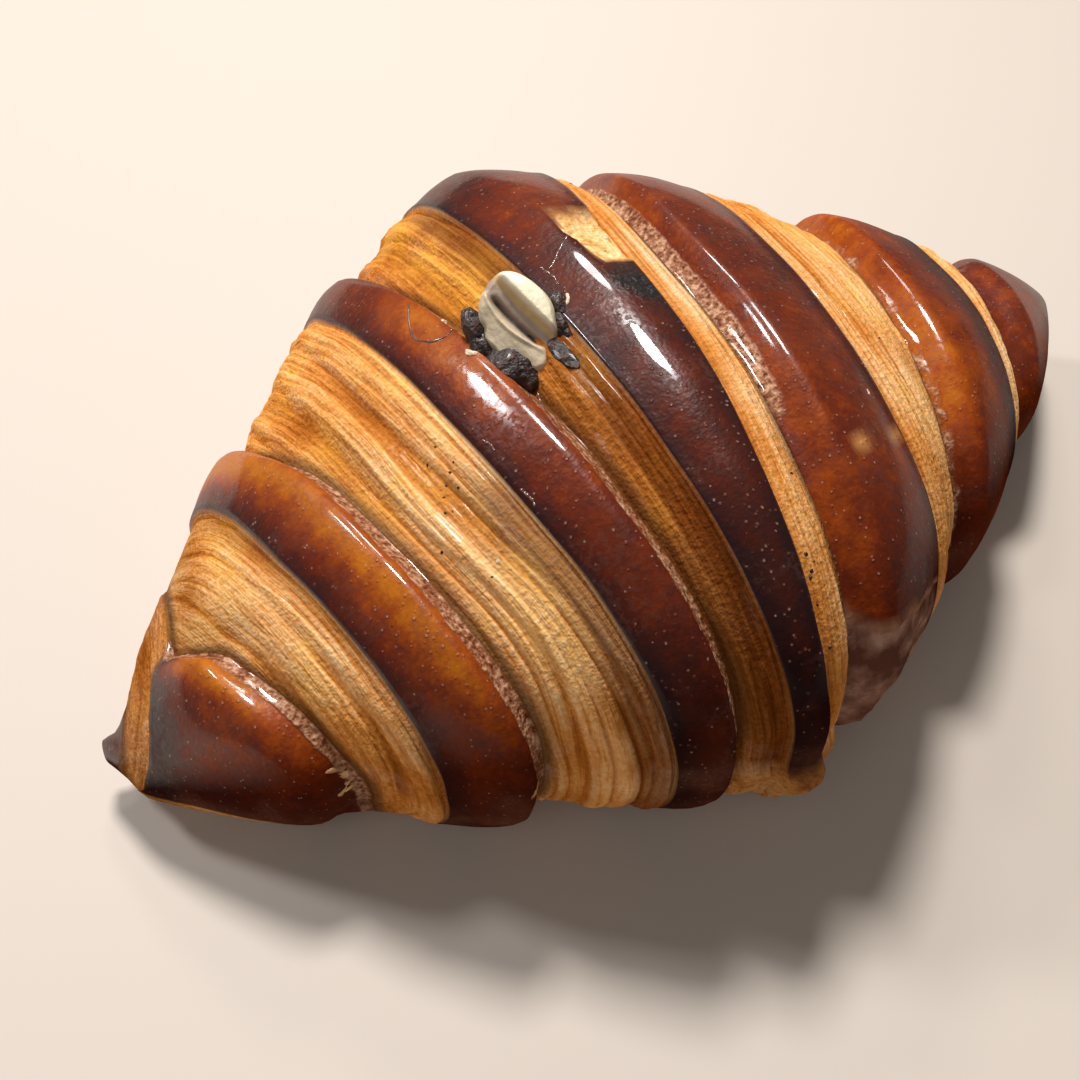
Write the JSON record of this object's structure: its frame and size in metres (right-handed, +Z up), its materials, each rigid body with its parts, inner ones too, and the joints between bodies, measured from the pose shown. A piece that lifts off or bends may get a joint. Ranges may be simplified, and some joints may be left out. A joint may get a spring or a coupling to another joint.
{
  "type": "filled croissant with half a hazelnut",
  "caption": "Rolled laminated croissant with browned turns, stepped layered edges and pointed ends, and half a hazelnut set in chocolate cream on its crest.",
  "frame": {"origin": "centre of the box's underside, on the surface the croissant lies on", "axes": "+X along the roll from its blunt dark tip to its slimmer tip, +Y from its front to its back, +Z up"},
  "size_m": [0.174, 0.1038, 0.0613],
  "materials": {
    "browned_crust": "egg-washed browned crust, glossy, with pale matte layered edges between the turns",
    "chocolate_cream": "dark lumpy chocolate cream, half gloss",
    "hazelnut": "pale peeled hazelnut kernel, matte to satin"
  },
  "bodies": {
    "root": {"croissant": "browned_crust", "chocolate_cream": "chocolate_cream", "hazelnut_half": "hazelnut"}
  },
  "joints": []
}
